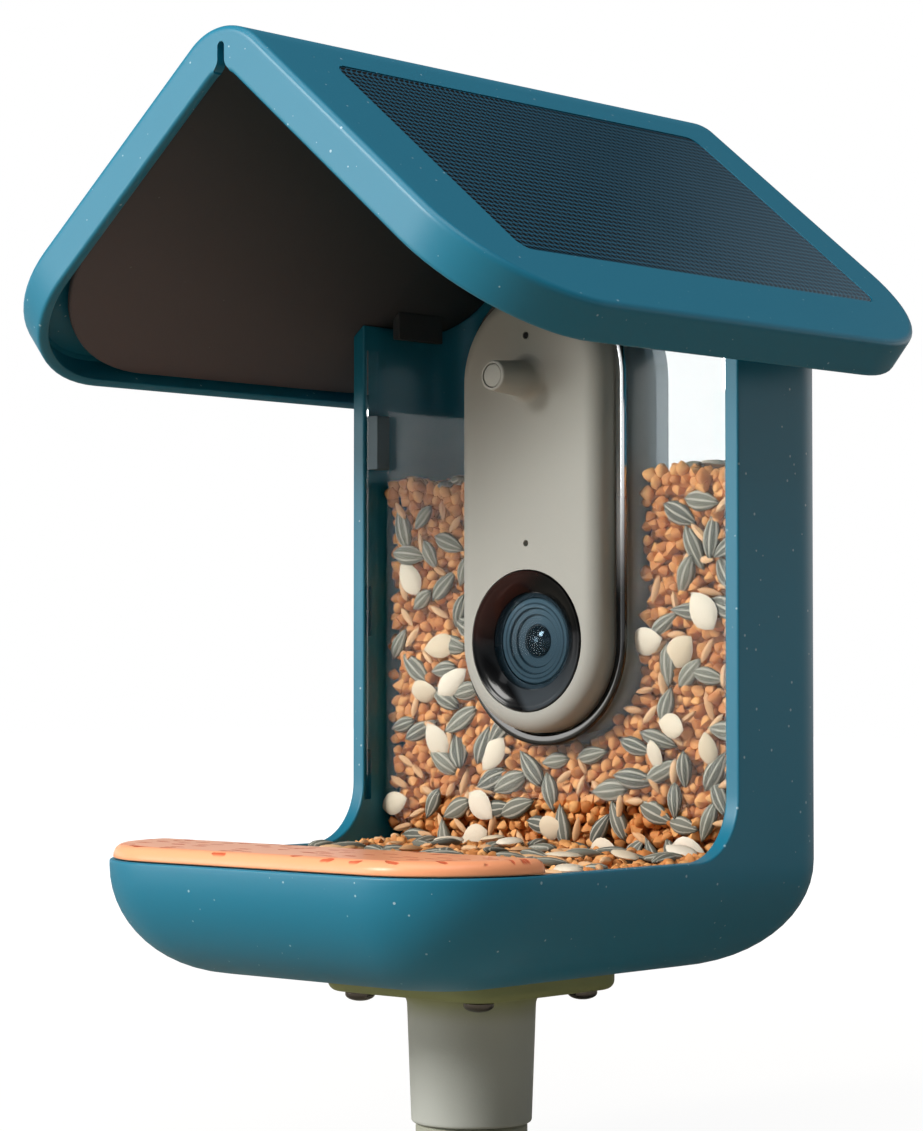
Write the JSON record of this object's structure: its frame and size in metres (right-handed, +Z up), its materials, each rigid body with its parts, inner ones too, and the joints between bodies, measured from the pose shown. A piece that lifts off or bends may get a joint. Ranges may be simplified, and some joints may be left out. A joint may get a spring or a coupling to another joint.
{
  "type": "smart bird feeder",
  "caption": "Pole-mounted hopper bird feeder with a slide-out camera module, a solar roof that lifts off, and a rear filling hatch.",
  "frame": {"origin": "on the pole's axis, at the pole adapter's lower rim, where a pole holds the feeder up", "axes": "+Z up along the pole; -Y out of the tray's front, the way the camera looks; +X to the right for someone who faces the tray"},
  "size_m": [0.1884, 0.187, 0.2896],
  "materials": {
    "blue_plastic": "satin, with fine pale flecks",
    "dark_blue_plastic": "satin",
    "orange_plastic": "satin",
    "clear_plastic": "polished",
    "black_gloss": "polished",
    "seed": "loose grain",
    "bracket_plastic": "satin",
    "adapter_plastic": "satin",
    "screw_steel": "polished",
    "pin_steel": "brushed",
    "module_plastic": "fine satin",
    "gasket_rubber": "matte",
    "lens_glass": "polished",
    "barrel_plastic": "satin",
    "part_black": "matte",
    "socket_steel": "bright",
    "circuit_board": "satin",
    "battery_foil": "satin",
    "solar_cell": "textured gloss"
  },
  "bodies": {
    "body": {"housing_shell": "blue_plastic", "perch_insert": "orange_plastic", "hopper_window": "clear_plastic", "pocket_bezel": "black_gloss", "feed_ramp": "dark_blue_plastic", "hopper_seed": "seed", "tray_seed": "seed", "mount_bracket": "bracket_plastic", "bracket_screw_1": "screw_steel", "bracket_screw_2": "screw_steel", "bracket_screw_3": "screw_steel", "bracket_screw_4": "screw_steel", "pole_adapter": "adapter_plastic", "hatch_pin_left": "pin_steel", "hatch_pin_right": "pin_steel"},
    "hatch": {"rear_hatch": "clear_plastic"},
    "roof": {"roof_shell": "blue_plastic", "roof_liner": "dark_blue_plastic", "solar_panel_left": "solar_cell", "solar_panel_right": "solar_cell", "solar_charge_board": "circuit_board", "roof_rail_left": "dark_blue_plastic", "roof_rail_right": "dark_blue_plastic"},
    "camera_module": {"module_front_cover": "module_plastic", "module_gasket": "gasket_rubber", "module_rear_cover": "module_plastic", "lens_bezel": "black_gloss", "lens_cover": "lens_glass", "lens_barrel": "barrel_plastic", "front_lens": "lens_glass", "sensor_board": "circuit_board", "main_board": "circuit_board", "battery": "battery_foil", "microphone": "part_black", "light_pipe": "part_black", "button_switch": "part_black", "charge_socket": "socket_steel"},
    "button": {"power_button": "module_plastic"}
  },
  "joints": [
    {"name": "roof_lift", "type": "slide", "parent": "body", "child": "roof", "axis": [0, 0, 1], "range_m": [0, 0.05]},
    {"name": "hatch_hinge", "type": "hinge", "parent": "body", "child": "hatch", "pos_m": [0, 0.0739, 0.098], "axis": [-1, 0, 0], "range_deg": [0, 75]},
    {"name": "module_slide", "type": "slide", "parent": "body", "child": "camera_module", "axis": [0, -1, 0], "range_m": [0, 0.035]},
    {"name": "button_travel", "type": "slide", "parent": "camera_module", "child": "button", "axis": [0, 1, 0], "range_m": [0, 0.0008], "stiffness_N_per_m": 1500, "springref_m": -0.0002}
  ]
}
